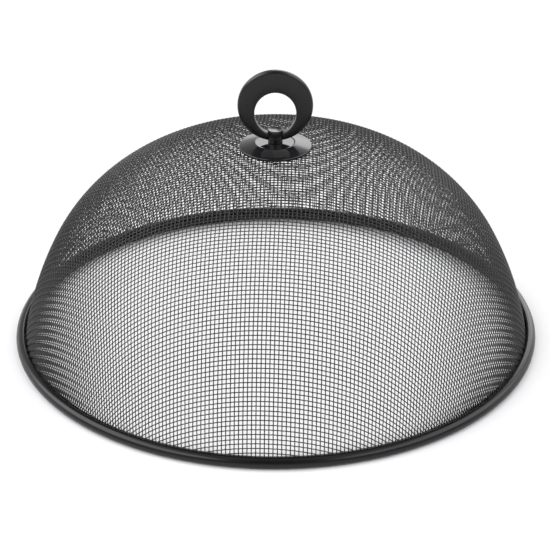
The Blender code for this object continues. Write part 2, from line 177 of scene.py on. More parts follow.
class CoverColours(bpy.types.PropertyGroup):
    wire_coat: FloatVectorProperty(
        name="Wire coat", description="Black coat of the wires", subtype="COLOR", size=3,
        default=linear("#1f1f21"), min=0, max=1)
    rim_enamel: FloatVectorProperty(
        name="Rim enamel", description="Black enamel of the rim", subtype="COLOR", size=3,
        default=linear("#0e0e10"), min=0, max=1)
    ring_enamel: FloatVectorProperty(
        name="Ring enamel", description="Satin black of the ring", subtype="COLOR", size=3,
        default=linear("#0f0f11"), min=0, max=1)
    disc_lacquer: FloatVectorProperty(
        name="Disc lacquer", description="Glossy black of the disc", subtype="COLOR", size=3,
        default=linear("#171719"), min=0, max=1)
    post_enamel: FloatVectorProperty(
        name="Post enamel", description="Glossy black of the post", subtype="COLOR", size=3,
        default=linear("#141415"), min=0, max=1)
    zinc: FloatVectorProperty(
        name="Zinc", description="Zinc plate of the washer and the screw", subtype="COLOR", size=3,
        default=linear("#c3c4c2"), min=0, max=1)
    spring: FloatVectorProperty(
        name="Spring steel", description="Bare steel of the lock washer", subtype="COLOR", size=3,
        default=linear("#8f8f8e"), min=0, max=1)
    floor: FloatVectorProperty(
        name="Floor", description="White floor of the studio", subtype="COLOR", size=3,
        default=linear("#f4f4f6"), min=0, max=1)


# Materials

def add_node(tree, kind, settings=None, inputs=None):
    """Add a node, set it up, and set or link its inputs."""
    made = tree.nodes.new(kind)
    for name, value in (settings or {}).items():
        setattr(made, name, value)
    for name, value in (inputs or {}).items():
        if isinstance(value, bpy.types.NodeSocket):
            tree.links.new(value, made.inputs[name])
        else:
            made.inputs[name].default_value = value
    return made


def new_material(name):
    made = bpy.data.materials.new(name)
    made.use_nodes = True
    made.node_tree.nodes.clear()
    return made, made.node_tree


PATCH_LOW, PATCH_HIGH = 0.3, 0.7    # the part of the noise between a patch's darkest and palest place
PALE_LIFT = 0.002               # the palest place is paler by this, so that a deep black drifts too
ROUGH_DRIFT = 0.12              # how far the roughness drifts with the colour
PEEL_FLATNESS = 8               # a ripple is this many times as wide as it is high


def coated_metal(name, colour, roughness, patch, patch_depth, peel, peel_depth,
                 metallic=0.0, ior=1.5):
    """A coat over metal: its colour drifts over patches, and its surface ripples like a sprayed film."""
    made, tree = new_material(name)
    place = add_node(tree, "ShaderNodeTexCoord").outputs["Object"]
    drift = add_node(tree, "ShaderNodeTexNoise", None,
                     {"Vector": place, "Scale": 1 / patch, "Detail": 3.0, "Roughness": 0.55})
    ripple = add_node(tree, "ShaderNodeTexNoise", None,
                      {"Vector": place, "Scale": 1 / peel, "Detail": 2.0, "Roughness": 0.5})
    light = tuple(min(part * (1 + patch_depth) + PALE_LIFT, 1.0) for part in colour)
    dark = tuple(part * (1 - patch_depth) for part in colour)
    shade = add_node(tree, "ShaderNodeValToRGB", None, {"Fac": drift.outputs["Fac"]})
    shade.color_ramp.elements[0].position = PATCH_LOW
    shade.color_ramp.elements[0].color = (*dark, 1.0)
    shade.color_ramp.elements[1].position = PATCH_HIGH
    shade.color_ramp.elements[1].color = (*light, 1.0)
    dull = add_node(tree, "ShaderNodeMapRange", None,
                    {"Value": drift.outputs["Fac"], "From Min": PATCH_LOW, "From Max": PATCH_HIGH,
                     "To Min": roughness * (1 - ROUGH_DRIFT), "To Max": roughness * (1 + ROUGH_DRIFT)})
    bump = add_node(tree, "ShaderNodeBump", None,
                    {"Height": ripple.outputs["Fac"], "Strength": peel_depth,
                     "Distance": peel / PEEL_FLATNESS})
    shader = add_node(tree, "ShaderNodeBsdfPrincipled", None,
                      {"Base Color": shade.outputs["Color"], "Roughness": dull.outputs["Result"],
                       "Normal": bump.outputs["Normal"], "Metallic": metallic, "IOR": ior})
    add_node(tree, "ShaderNodeOutputMaterial", None, {"Surface": shader.outputs["BSDF"]})
    return made


# Tools of the hand

def drop_selection():
    if bpy.context.mode != "OBJECT":
        bpy.ops.object.mode_set(mode="OBJECT")
    bpy.ops.object.select_all(action="DESELECT")


def begin_outline(name, points):
    """Draw an outline of (radius, height) pairs in the XZ plane, and stay in edit mode."""
    drop_selection()
    bpy.ops.mesh.primitive_plane_add(size=MM)
    made = bpy.context.object
    made.name = made.data.name = name
    bpy.ops.object.mode_set(mode="EDIT")
    bpy.ops.mesh.select_mode(type="VERT")
    bpy.ops.mesh.select_all(action="SELECT")
    bpy.ops.mesh.merge(type="CENTER")
    bpy.ops.transform.translate(value=(points[0][0], 0, points[0][1]))
    for last, point in zip(points, points[1:]):
        step = (point[0] - last[0], 0, point[1] - last[1])
        bpy.ops.mesh.extrude_vertices_move(TRANSFORM_OT_translate={"value": step})
    return made


def pick(made, test, kind="VERT"):
    """Select the vertices or edges whose middle passes a test, and nothing else."""
    bpy.ops.mesh.select_mode(type=kind)
    bpy.ops.mesh.select_all(action="DESELECT")
    work = bmesh.from_edit_mesh(made.data)
    for part in work.verts if kind == "VERT" else work.edges:
        middle = part.co if kind == "VERT" else (part.verts[0].co + part.verts[1].co) / 2
        part.select = bool(test(middle))
    work.select_flush_mode()
    bmesh.update_edit_mesh(made.data)


def round_corner(made, corner, size, steps=6):
    """Round one corner of an outline."""
    at = Vector((corner[0], 0, corner[1]))
    pick(made, lambda place: (place - at).length < SAME_PLACE)
    bpy.ops.mesh.bevel(offset=size, segments=steps, affect="VERTICES")


def spin_outline(steps):
    """Turn the outline round the Z axis and close its seam and poles."""
    bpy.ops.mesh.select_mode(type="VERT")
    bpy.ops.mesh.select_all(action="SELECT")
    bpy.ops.mesh.spin(steps=steps, angle=math.tau, center=(0, 0, 0), axis=(0, 0, 1))
    bpy.ops.mesh.select_all(action="SELECT")
    bpy.ops.mesh.remove_doubles(threshold=WELD)
    bpy.ops.mesh.normals_make_consistent(inside=False)


def close_outline():
    """Join the two ends of an outline."""
    bpy.ops.mesh.select_mode(type="VERT")
    work = bmesh.from_edit_mesh(bpy.context.object.data)
    for vert in work.verts:
        vert.select = len(vert.link_edges) == 1
    bpy.ops.mesh.edge_face_add()


def apply_modifier(made, kind, settings):
    if bpy.context.mode != "OBJECT":
        bpy.ops.object.mode_set(mode="OBJECT")
    bpy.context.view_layer.objects.active = made
    added = made.modifiers.new(kind.lower(), kind)
    for name, value in settings.items():
        setattr(added, name, value)
    bpy.ops.object.modifier_apply(modifier=added.name)


def arc(centre, size, start, end, steps):
    """Points of an arc in the (radius, height) plane, both ends included."""
    turns = [start + (end - start) * step / steps for step in range(steps + 1)]
    return [(centre[0] + size * math.cos(turn), centre[1] + size * math.sin(turn)) for turn in turns]


def finish_piece(made, surface, slot, *nodes, angle=32.0):
    """Shade a finished mesh, give it its material, and let it stand for its solids."""
    drop_selection()
    made.select_set(True)
    bpy.context.view_layer.objects.active = made
    bpy.ops.object.transform_apply(location=True, rotation=True, scale=True)
    bpy.ops.object.shade_smooth_by_angle(angle=math.radians(angle))
    made.data.materials.clear()
    made.data.materials.append(surface)
    work = bmesh.new()
    work.from_mesh(made.data)
    open_edges = sum(1 for edge in work.edges if not edge.is_manifold)
    work.free()
    count = len(made.data.polygons)
    if open_edges or not count:
        raise RuntimeError(f"{made.name} has {count} faces and {open_edges} open edges")
    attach(made, "root")
    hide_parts(*nodes)


# The cloth's outline: three arcs that run into each other

class DomeLine:
    """Outline of the dome, set in from the cloth's outer face; lengths run from the crown down."""

    def __init__(self, inset):
        foot = (FOOT_R, 0.0)
        self.arcs = []
        for size, start, end in ((WALL_R, FOOT_LEAN, WALL_END), (SHOULDER_R, WALL_END, SHOULDER_END)):
            centre = (foot[0] - size * math.cos(start), foot[1] - size * math.sin(start))
            foot = (centre[0] + size * math.cos(end), centre[1] + size * math.sin(end))
            self.arcs.insert(0, (centre, size - inset, end))
        crown = foot[0] / math.cos(SHOULDER_END)
        centre = (0.0, foot[1] - crown * math.sin(SHOULDER_END))
        self.arcs.insert(0, (centre, crown - inset, math.pi / 2))

    def at(self, length):
        """Radius, height and slope angle at a length along the outline."""
        left = length
        for index, (centre, size, top) in enumerate(self.arcs):
            low = self.arcs[index + 1][2] if index + 1 < len(self.arcs) else -math.pi / 2
            run = size * (top - low)
            if left <= run:
                break
            left -= run
        angle = top - left / size
        return centre[0] + size * math.cos(angle), centre[1] + size * math.sin(angle), angle

    def height(self, radius):
        """Height over a radius on the crown or the shoulder."""
        crown, shoulder, _ = self.arcs
        centre, size, _ = crown if radius <= crown[1] * math.cos(SHOULDER_END) else shoulder
        return centre[1] + math.sqrt(size * size - (radius - centre[0]) ** 2)

    def length_at(self, height):
        """Length along the outline down to a height on the lower wall."""
        centre, size, top = self.arcs[2]
        run = sum(part[1] * (part[2] - after[2]) for part, after in zip(self.arcs, self.arcs[1:]))
        return run + size * (top - math.asin((height - centre[1]) / size))


CLOTH_TOP = DomeLine(0.0)
CLOTH_MIDDLE = DomeLine(CLOTH_T / 2)
CLOTH_UNDER = DomeLine(CLOTH_T)

BORE_R = SCREW_R + HOLE_PLAY
BOSS_Z = CLOTH_TOP.height(0) + TOUCH
DISC_Z = CLOTH_TOP.height(DISC_R) + TOUCH
EDGE_Z = DISC_Z + DISC_EDGE
CONE_Z = EDGE_Z + DISC_RISE
FLAT_Z = CONE_Z - FLAT_DIP
POST_Z = FLAT_Z + TOUCH
POST_TOP = POST_Z + POST_H
SCREW_TOP = POST_Z + SCREW_IN_POST
RING_Z = FLAT_Z + RING_LIFT + RING_R
HOLE_Z = RING_Z - HOLE_DROP
SPRING_TOP = CLOTH_UNDER.height(SPRING_R) - WASHER_T - 2 * TOUCH
HEAD_TOP = SPRING_TOP - SPRING_T - TOUCH


# The cloth's knots: wires keep their pitch, and the press stretched them down the wall

STRETCH_POWER = 1.8             # the stretch of the cloth grows this steeply towards its foot
HALVINGS = 40                   # how often the search along the axis halves its range
ROUNDS = 30                     # the most rounds that the search for a knot takes
TRIAL_STEP = 1e-4               # its trial step, of the pitch
NEAR_ENOUGH = 1e-6              # the miss that ends it, of the pitch


class Net:
    """Knots of a quarter of the cloth as (length, turn), keyed by wire and wire from the crown."""

    def __init__(self, line, pitch, stretch, reach):
        self.line = line
        self.pitch = pitch
        self.stretch = stretch
        self.foot = line.length_at(HEM_Z)
        self.knots = self.lay(reach)

    def apart(self, a, b):
        """Distance of two knots measured on the cloth before it was pressed."""
        share = max(a[0] + b[0], 0.0) / 2 / self.foot
        down = (b[0] - a[0]) / (1 + self.stretch * share ** STRETCH_POWER)
        side = math.sin((b[1] - a[1]) / 2)
        return math.sqrt(down * down + 4 * self.line.at(a[0])[0] * self.line.at(b[0])[0] * side * side)

    def beside_axis(self, length):
        """Knot of the wire beside the axis, at a length."""
        return length, math.asin(min(self.pitch / 2 / self.line.at(length)[0], 1.0))

    def along_axis(self, last):
        """Next knot of the wire beside the axis."""
        low = last[0]
        high = last[0] + 2 * self.pitch
        for _ in range(HALVINGS):
            middle = (low + high) / 2
            if self.apart(last, self.beside_axis(middle)) >= self.pitch:
                high = middle
            else:
                low = middle
        return self.beside_axis(high)

    def corner(self, before, beside, across):
        """Knot one pitch from two known knots, on the far side of a third."""
        def spot(knot):
            radius = self.line.at(knot[0])[0]
            return complex(radius * math.cos(knot[1]), radius * math.sin(knot[1]))

        length = before[0] + beside[0] - across[0]
        guess = spot(before) + spot(beside) - spot(across)
        turn = math.atan2(guess.imag, guess.real)
        step = self.pitch * TRIAL_STEP
        for _ in range(ROUNDS):
            arm = max(self.line.at(length)[0], self.pitch)
            here = (length, turn)
            miss_a = self.apart(before, here) - self.pitch
            miss_b = self.apart(beside, here) - self.pitch
            if abs(miss_a) + abs(miss_b) < self.pitch * NEAR_ENOUGH:
                break
            down = (length + step, turn)
            side = (length, turn + step / arm)
            aa = (self.apart(before, down) - self.pitch - miss_a) / step
            ab = (self.apart(before, side) - self.pitch - miss_a) / step
            ba = (self.apart(beside, down) - self.pitch - miss_b) / step
            bb = (self.apart(beside, side) - self.pitch - miss_b) / step
            det = aa * bb - ab * ba
            length -= (bb * miss_a - ab * miss_b) / det
            turn -= (aa * miss_b - ba * miss_a) / det / arm
        return length, turn

    def lay(self, reach):
        """Lay the knots out from the crown, beside both axes first."""
        first = (self.pitch / math.sqrt(2), math.pi / 4)
        knots = {(0, 0): first}
        count = 0
        while knots[(count, 0)][0] < reach:
            found = self.along_axis(knots[(count, 0)])
            count += 1
            knots[(count, 0)] = found
            knots[(0, count)] = (found[0], math.pi / 2 - found[1])
        for i in range(1, count + 1):
            for j in range(1, count + 1):
                around = [knots.get(key) for key in ((i - 1, j), (i, j - 1), (i - 1, j - 1))]
                if None in around or min(around[0][0], around[1][0]) > reach:
                    continue
                knots[(i, j)] = self.corner(*around)
        return knots

    def wires(self, hem):
        """Every wire along X as rows of (length, turn, parity), cut at the hem."""
        most = max(i for i, _ in self.knots)
        found = []
        for j in range(most + 1):
            run = []
            for i in range(most + 1):
                knot = self.knots.get((i, j))
                if knot is None:
                    break
                run.append((*knot, (i + j) % 2))
                if knot[0] > hem:
                    break
            if len(run) < 2 or run[0][0] > hem:
                continue
            last, over = run[-2], run[-1]
            if over[0] > hem:
                share = (hem - last[0]) / (over[0] - last[0])
                run[-1] = tuple(a + (b - a) * share for a, b in zip(last, over))
            found.append((j, run))
        return found


def cloth_points(rows, signs, line):
    """Places and outward directions of knots on the cloth."""
    found = np.array([line.at(length) for length in rows[:, 0]])
    radius, height, angle = found.T
    turn = rows[:, 1]
    places = np.stack([signs[0] * radius * np.cos(turn), signs[1] * radius * np.sin(turn), height], 1)
    out = np.stack([signs[0] * np.cos(angle) * np.cos(turn), signs[1] * np.cos(angle) * np.sin(turn),
                    np.sin(angle)], 1)
    return places, out


# Rise of a wire from the middle of the cloth, of its thickness. Under a half, so that wires that cross
# sink a little into each other, as where their coats join.
CRIMP = 0.38
WIRE_SIDES = 6
# A six-sided wire that is wider by this across its corners looks as wide as a round one
SIX_FOR_ROUND = 1.047
SLOW_RUN, QUICK_RUN = 9, 4.1    # knots to a radian of a wire's slow and quick stray
QUICK_SHARE = 0.6               # the quick stray, of the slow one
WEAVE_SEED = 7


def tube(places, out, lift, thick, wander):
    """Rings of points round a wire that rises and falls by its lift."""
    spine = places + out * lift[:, None]
    along = np.gradient(spine, axis=0)
    along /= np.linalg.norm(along, axis=1, keepdims=True)
    side = np.cross(out, along)
    side /= np.linalg.norm(side, axis=1, keepdims=True)
    up = np.cross(along, side)
    spine = spine + side * wander[:, None]
    reach = thick[:, None] / 2 * SIX_FOR_ROUND
    rings = []
    for corner in range(WIRE_SIDES):
        angle = math.pi * (0.5 + 2 * corner / WIRE_SIDES)
        rings.append(spine + reach * (math.cos(angle) * up + math.sin(angle) * side))
    return np.stack(rings, 1)


def tube_faces(count, start):
    """Side and end faces of a tube; an end of six corners is two faces of four."""
    ring = np.arange(count - 1)[:, None] * WIRE_SIDES
    corner = np.arange(WIRE_SIDES)[None, :]
    after = (corner + 1) % WIRE_SIDES
    faces = np.stack([ring + corner, ring + WIRE_SIDES + corner, ring + WIRE_SIDES + after, ring + after], -1)
    low = np.array([[0, 1, 2, 3], [0, 3, 4, 5]])
    high = low[:, ::-1] + (count - 1) * WIRE_SIDES
    return np.concatenate([faces.reshape(-1, 4), low, high]) + start


def weave(sizes):
    """All wires as four groups of (points, faces): along X in front and behind, along Y left and right."""
    line = CLOTH_MIDDLE
    hem = line.length_at(HEM_Z)
    net = Net(line, sizes.wire_pitch, sizes.pressed_stretch, hem + 2 * sizes.wire_pitch)
    runs = net.wires(hem)
    turned = np.array(Matrix.Rotation(sizes.cloth_turn, 3, "Z"))
    rng = np.random.default_rng(WEAVE_SEED)
    groups = {}
    for flip in (False, True):
        for side in (-1, 1):
            points, faces, start = [], [], 0
            for j, run in runs:
                quarter = np.array(run)
                if flip:
                    quarter[:, 1] = math.pi / 2 - quarter[:, 1]
                halves = []
                for end in (-1, 1):
                    signs = (side, end) if flip else (end, side)
                    places, out = cloth_points(quarter, signs, line)
                    sign = 1 if flip else -1
                    parity = quarter[:, 2] if end * side > 0 else 1 - quarter[:, 2]
                    thick = sizes.wire_thickness * (1 + sizes.coat_growth * quarter[:, 0] / net.foot)
                    lift = sign * (parity * 2 - 1) * thick * CRIMP
                    halves.append((places, out, lift, thick))
                drift = rng.normal(0, sizes.wire_wander)
                waves = rng.uniform(0, math.tau, 3)
                for stretch in join_halves(halves, drift, waves, sizes):
                    rings = tube(*stretch)
                    points.append(rings.reshape(-1, 3))
                    faces.append(tube_faces(len(rings), start))
                    start += len(rings) * WIRE_SIDES
            groups[(flip, side)] = (np.concatenate(points) @ turned.T, np.concatenate(faces))
    return groups


def join_halves(halves, drift, waves, sizes):
    """Join the two mirrored halves of a wire, or end them at the screw's hole."""
    places, out, lift, thick = (np.concatenate([a[::-1], b]) for a, b in zip(*halves))
    run = np.arange(len(places))
    stray = np.sin(run / SLOW_RUN + waves[0]) + QUICK_SHARE * np.sin(run / QUICK_RUN + waves[1])
    wander = drift + sizes.wire_wander * stray
    wander[0] = wander[-1] = 0
    apart = np.hypot(places[:, 0], places[:, 1])
    inside = apart < BORE_R
    if not inside.any():
        return [(places, out, lift, thick, wander)]
    first = int(np.argmax(inside))
    last = len(inside) - int(np.argmax(inside[::-1]))
    keep = (slice(0, first), slice(last, len(places)))
    return [tuple(row[part] for row in (places, out, lift, thick, wander)) for part in keep]


# Operators: one for each piece or group of like pieces

class FOODCOVER_OT_weave_cloth(bpy.types.Operator):
    """Weave the wires of the dome over and under each other, cut level at the hem"""
    bl_idname = "food_cover.weave_cloth"
    bl_label = "Weave the cloth"
    bl_options = {"REGISTER", "UNDO"}

    def execute(self, context):
        sizes = context.scene.cover_sizes
        colours = context.scene.cover_colours
        # Black coat baked on woven steel wire: satin, dark, with a soft line of light along each wire
        coat = coated_metal("black coated wire", colours.wire_coat, roughness=0.42,
                            patch=26 * MM, patch_depth=0.12, peel=1.2 * MM, peel_depth=0.15)
        names = {(False, -1): "wires_across_front", (False, 1): "wires_across_back",
                 (True, -1): "wires_over_left", (True, 1): "wires_over_right"}
        for key, (points, faces) in weave(sizes).items():
            drop_selection()
            mesh = bpy.data.meshes.new(names[key])
            mesh.from_pydata(points.tolist(), [], faces.tolist())
            mesh.validate()
            made = bpy.data.objects.new(names[key], mesh)
            context.scene.collection.objects.link(made)
            finish_piece(made, coat, "wire_cloth", "mesh_dome", angle=180.0)
        return {"FINISHED"}


class FOODCOVER_OT_curl_rim(bpy.types.Operator):
    """Curl the steel strip of the rim up inside the cloth and round beside it"""
    bl_idname = "food_cover.curl_rim"
    bl_label = "Curl the rim"
    bl_options = {"REGISTER", "UNDO"}

    def execute(self, context):
        sizes = context.scene.cover_sizes
        # Glossy black enamel over rolled steel: deep black with sharp lines of light and a faint ripple
        enamel = coated_metal("black rim enamel", context.scene.cover_colours.rim_enamel, roughness=0.22,
                              patch=40 * MM, patch_depth=0.10, peel=1.6 * MM, peel_depth=0.10, ior=1.4)
        half = STRIP_T / 2
        low, high, out = half, RIM_H - half, COVER_R - half
        # The curled edge leans as the cloth beside it does
        top = RETURN_R - (high - RETURN_LOW) * math.tan(FOOT_LEAN)
        corners = [(LEG_R, low), (out, low), (out, high), (top, high)]
        rim = begin_outline("rim", [(LEG_R, LEG_H), *corners, (RETURN_R, RETURN_LOW)])
        bends = (LEG_BEND, sizes.rim_corner, sizes.rim_corner, LEG_BEND)
        for corner, size in zip(corners, bends):
            round_corner(rim, corner, size)
        spin_outline(RIM_STEPS)
        apply_modifier(rim, "SOLIDIFY", {"thickness": STRIP_T, "offset": 0, "use_even_offset": True})
        finish_piece(rim, enamel, "rim_enamel", "rim_band")
        return {"FINISHED"}


class FOODCOVER_OT_turn_disc(bpy.types.Operator):
    """Turn the conical base disc of the knob"""
    bl_idname = "food_cover.turn_disc"
    bl_label = "Turn the disc"
    bl_options = {"REGISTER", "UNDO"}

    def execute(self, context):
        sizes = context.scene.cover_sizes
        # High gloss black lacquer over a spun disc: it mirrors the studio and the ring above it
        lacquer = coated_metal("black disc lacquer", context.scene.cover_colours.disc_lacquer,
                               roughness=0.07, patch=12 * MM, patch_depth=0.10,
                               peel=2.4 * MM, peel_depth=0.03)
        lip = (FLAT_R + FLAT_SLOPE / 2, CONE_Z)
        slope = DISC_RISE / (DISC_R - lip[0])
        under = DISC_R - DISC_FOOT
        roof = CONE_Z - DISC_WALL
        edge = (DISC_R, EDGE_Z)
        flat = (FLAT_R - FLAT_SLOPE / 2, FLAT_Z)
        outline = [(BORE_R, BOSS_Z), (BOSS_R, BOSS_Z), (BOSS_R, roof), (FLAT_R, roof),
                   (under, roof - slope * (under - FLAT_R)), (under, DISC_Z), (DISC_R, DISC_Z), edge,
                   lip, flat, (BORE_R, FLAT_Z)]
        disc = begin_outline("knob_disc", outline)
        close_outline()
        round_corner(disc, edge, DISC_EDGE_ROUND, 4)
        round_corner(disc, (DISC_R, DISC_Z), DISC_ROUND, 2)
        round_corner(disc, lip, DISC_ROUND, 3)
        round_corner(disc, flat, DISC_ROUND, 3)
        spin_outline(sizes.round_steps)
        finish_piece(disc, lacquer, "disc_plate", "base_disc", angle=40.0)
        return {"FINISHED"}


class FOODCOVER_OT_turn_post(bpy.types.Operator):
    """Turn the short post that carries the ring"""
    bl_idname = "food_cover.turn_post"
    bl_label = "Turn the post"
    bl_options = {"REGISTER", "UNDO"}

    def execute(self, context):
        sizes = context.scene.cover_sizes
        # Glossy black enamel on a turned post: a bright crescent in its dished top, dark sides
        enamel = coated_metal("black post enamel", context.scene.cover_colours.post_enamel, roughness=0.10,
                              patch=8 * MM, patch_depth=0.10, peel=1.2 * MM, peel_depth=0.05)
        sweep = (POST_R ** 2 + POST_DISH ** 2) / (2 * POST_DISH)
        turn = math.asin(POST_R / sweep)
        dish = arc((0, POST_TOP - POST_DISH + sweep), sweep, turn - math.pi / 2, -math.pi / 2, 10)
        roof = SCREW_TOP + TOUCH
        outline = [(0, roof), (BORE_R, roof), (BORE_R, POST_Z), (POST_R, POST_Z), *dish]
        post = begin_outline("knob_post_turned", outline)
        round_corner(post, dish[0], POST_ROUND, 5)
        spin_outline(sizes.round_steps // 2)
        finish_piece(post, enamel, "post_enamel", "knob_post")
        return {"FINISHED"}


class FOODCOVER_OT_form_ring(bpy.types.Operator):
    """Form the upright ring with its hole set low, and seat it on the post"""
    bl_idname = "food_cover.form_ring"
    bl_label = "Form the ring"
    bl_options = {"REGISTER", "UNDO"}

    def execute(self, context):
        sizes = context.scene.cover_sizes
        steps = sizes.round_steps
        # Satin black paint on a cast ring: flat dark faces, thin lines of light on the rounded edges
        paint = coated_metal("satin black ring paint", context.scene.cover_colours.ring_enamel,
                             roughness=0.26, patch=14 * MM, patch_depth=0.10,
                             peel=0.9 * MM, peel_depth=0.12)
        drop_selection()
        upright = (math.pi / 2, 0, 0)
        bpy.ops.mesh.primitive_circle_add(vertices=steps, radius=RING_R, rotation=upright,
                                          location=(0, 0, RING_Z))
        ring = context.object
        ring.name = ring.data.name = "knob_ring"
        bpy.ops.object.transform_apply(location=True, rotation=True, scale=True)
        bpy.ops.object.mode_set(mode="EDIT")
        bpy.ops.mesh.primitive_circle_add(vertices=steps, radius=HOLE_HALF_W, rotation=upright,
                                          location=(0, 0, HOLE_Z))
        bpy.ops.transform.resize(value=(1, 1, HOLE_HALF_H / HOLE_HALF_W), center_override=(0, 0, HOLE_Z))
        bpy.ops.mesh.select_all(action="SELECT")
        bpy.ops.mesh.bridge_edge_loops()
        bpy.ops.mesh.select_all(action="SELECT")
        bpy.ops.transform.translate(value=(0, -RING_T / 2, 0))
        bpy.ops.mesh.extrude_region_move(TRANSFORM_OT_translate={"value": (0, RING_T, 0)})
        bpy.ops.mesh.select_all(action="SELECT")
        bpy.ops.mesh.normals_make_consistent(inside=False)
        face = RING_T / 2 - TOUCH

        def on_outer_edge(place):
            return abs(place.y) > face and math.hypot(place.x, place.z - RING_Z) > RING_R - TOUCH

        def on_hole_edge(place):
            return abs(place.y) > face and math.hypot(place.x, place.z - HOLE_Z) < HOLE_HALF_H + TOUCH

        pick(ring, on_outer_edge, "EDGE")
        bpy.ops.mesh.bevel(offset=sizes.ring_round, segments=10)
        pick(ring, on_hole_edge, "EDGE")
        bpy.ops.mesh.bevel(offset=sizes.hole_edge, segments=4)
        bpy.ops.object.mode_set(mode="OBJECT")
        drop_selection()
        bpy.ops.mesh.primitive_cylinder_add(vertices=steps // 2, radius=POST_R + TOUCH, depth=RING_R,
                                            location=(0, 0, POST_Z))
        seat = context.object
        apply_modifier(ring, "BOOLEAN", {"operation": "DIFFERENCE", "object": seat})
        bpy.data.objects.remove(seat)
        finish_piece(ring, paint, "ring_enamel", "grip_ring", angle=40.0)
        return {"FINISHED"}


class FOODCOVER_OT_fit_fastener(bpy.types.Operator):
    """Make the washer, the split lock washer and the screw under the crown"""
    bl_idname = "food_cover.fit_fastener"
    bl_label = "Fit the fastener"
    bl_options = {"REGISTER", "UNDO"}

    def execute(self, context):
        colours = context.scene.cover_colours
        # Zinc plate on pressed steel: pale grey, softly mirrored, with a cloudy bloom
        zinc = coated_metal("zinc plate", colours.zinc, roughness=0.32, patch=5 * MM, patch_depth=0.12,
                            peel=0.7 * MM, peel_depth=0.15, metallic=1.0)
        # Bare spring steel: darker and duller than the plate
        steel = coated_metal("spring steel", colours.spring, roughness=0.42, patch=3 * MM,
                             patch_depth=0.15, peel=0.5 * MM, peel_depth=0.2, metallic=1.0)
        self.washer(zinc)
        self.lock_washer(steel)
        self.screw(zinc)
        return {"FINISHED"}

    def washer(self, zinc):
        """A wide washer, dished to lie against the crown of the cloth."""
        radii = [BORE_R, WASHER_R / 2, WASHER_R - WASHER_EDGE, WASHER_R]
        top = [(radius, CLOTH_UNDER.height(radius) - TOUCH) for radius in radii]
        under = [(radius, height - WASHER_T) for radius, height in reversed(top)]
        washer = begin_outline("washer", top + under)
        close_outline()
        round_corner(washer, top[-1], WASHER_TOP_ROUND, 4)
        round_corner(washer, under[0], WASHER_LOW_ROUND, 3)
        spin_outline(WASHER_STEPS)
        finish_piece(washer, zinc, "zinc_plate", "backing_washer")

    def lock_washer(self, steel):
        """A spring washer with a slit."""
        low = SPRING_TOP - SPRING_T
        outline = [(BORE_R, low), (SPRING_R, low), (SPRING_R, SPRING_TOP), (BORE_R, SPRING_TOP)]
        spring = begin_outline("lock_washer_split", outline)
        close_outline()
        for corner in outline:
            round_corner(spring, corner, SPRING_ROUND, 2)
        bpy.ops.mesh.select_all(action="SELECT")
        bpy.ops.mesh.edge_face_add()
        cut = SPRING_CUT / (SPRING_R + BORE_R)
        bpy.ops.transform.rotate(value=-cut, orient_axis="Z", center_override=(0, 0, 0))
        bpy.ops.mesh.spin(steps=SPRING_STEPS, angle=math.tau - 2 * cut, center=(0, 0, 0), axis=(0, 0, 1))
        bpy.ops.mesh.select_all(action="SELECT")
        bpy.ops.mesh.remove_doubles(threshold=WELD)
        bpy.ops.mesh.normals_make_consistent(inside=False)
        finish_piece(spring, steel, "spring_steel", "lock_washer")

    def screw(self, zinc):
        """A pan head screw with a cross recess."""
        swell = (HEAD_R ** 2 + HEAD_DOME ** 2) / (2 * HEAD_DOME)
        turn = math.asin(HEAD_R / swell)
        low = HEAD_TOP - HEAD_H
        head = arc((0, low + swell), swell, -math.pi / 2, -math.pi / 2 + turn, 8)
        outline = [*head, (HEAD_R, HEAD_TOP), (SCREW_R, HEAD_TOP), (SCREW_R, SCREW_TOP), (0, SCREW_TOP)]
        screw = begin_outline("screw", outline)
        round_corner(screw, head[-1], SCREW_ROUND, 4)
        round_corner(screw, (SCREW_R, SCREW_TOP), SCREW_ROUND, 2)
        spin_outline(SCREW_STEPS)
        apply_modifier(screw, "WELD", {"merge_threshold": WELD})
        drop_selection()
        bpy.ops.mesh.primitive_cube_add(size=MM, location=(0, 0, low))
        cross = bpy.context.object
        bpy.ops.object.mode_set(mode="EDIT")
        bpy.ops.transform.resize(value=CROSS_ARM, center_override=(0, 0, low))
        bpy.ops.object.mode_set(mode="OBJECT")
        bpy.ops.object.transform_apply(location=True, rotation=True, scale=True)
        apply_modifier(screw, "BOOLEAN", {"operation": "DIFFERENCE", "object": cross})
        bpy.ops.object.select_all(action="DESELECT")
        cross.select_set(True)
        bpy.context.view_layer.objects.active = cross
        bpy.ops.object.mode_set(mode="EDIT")
        bpy.ops.mesh.select_all(action="SELECT")
        bpy.ops.transform.rotate(value=math.pi / 2, orient_axis="Z", center_override=(0, 0, 0))
        bpy.ops.object.mode_set(mode="OBJECT")
        apply_modifier(screw, "BOOLEAN", {"operation": "DIFFERENCE", "object": cross})
        bpy.data.objects.remove(cross)
        finish_piece(screw, zinc, "screw_zinc", "clamp_screw")


# The studio. Brightness of its wall and of the softbox in it, by the sine of the angle above the floor
WALL_LEVELS = ((0.0, 1.4), (0.12, 1.6), (0.17, 1.15), (0.22, 0.95), (0.33, 0.8), (0.45, 0.6), (0.62, 0.4),
               (0.77, 0.25), (1.0, 0.2))
BOX_LEVELS = ((0.0, 1.4), (0.09, 1.6), (0.17, 2.3), (0.24, 2.7), (0.41, 3.6), (0.47, 3.5), (0.55, 1.25),
              (0.63, 0.8), (0.73, 0.4), (1.0, 0.25))
WALL_TOP = 2.0                  # the brightness that the ramp of the wall counts as one
BOX_TOP = 4.0
ROOM_SHARE = 0.25               # the room on the camera's side, of the wall
LEFT_BOX = 3.4                  # brightness of the wide softbox on the left
RIGHT_BOX = 2.3
OVERHEAD = 0.6
OVERHEAD_GAP = 0.3              # brightness left in the gap overhead, of the lamps beside it

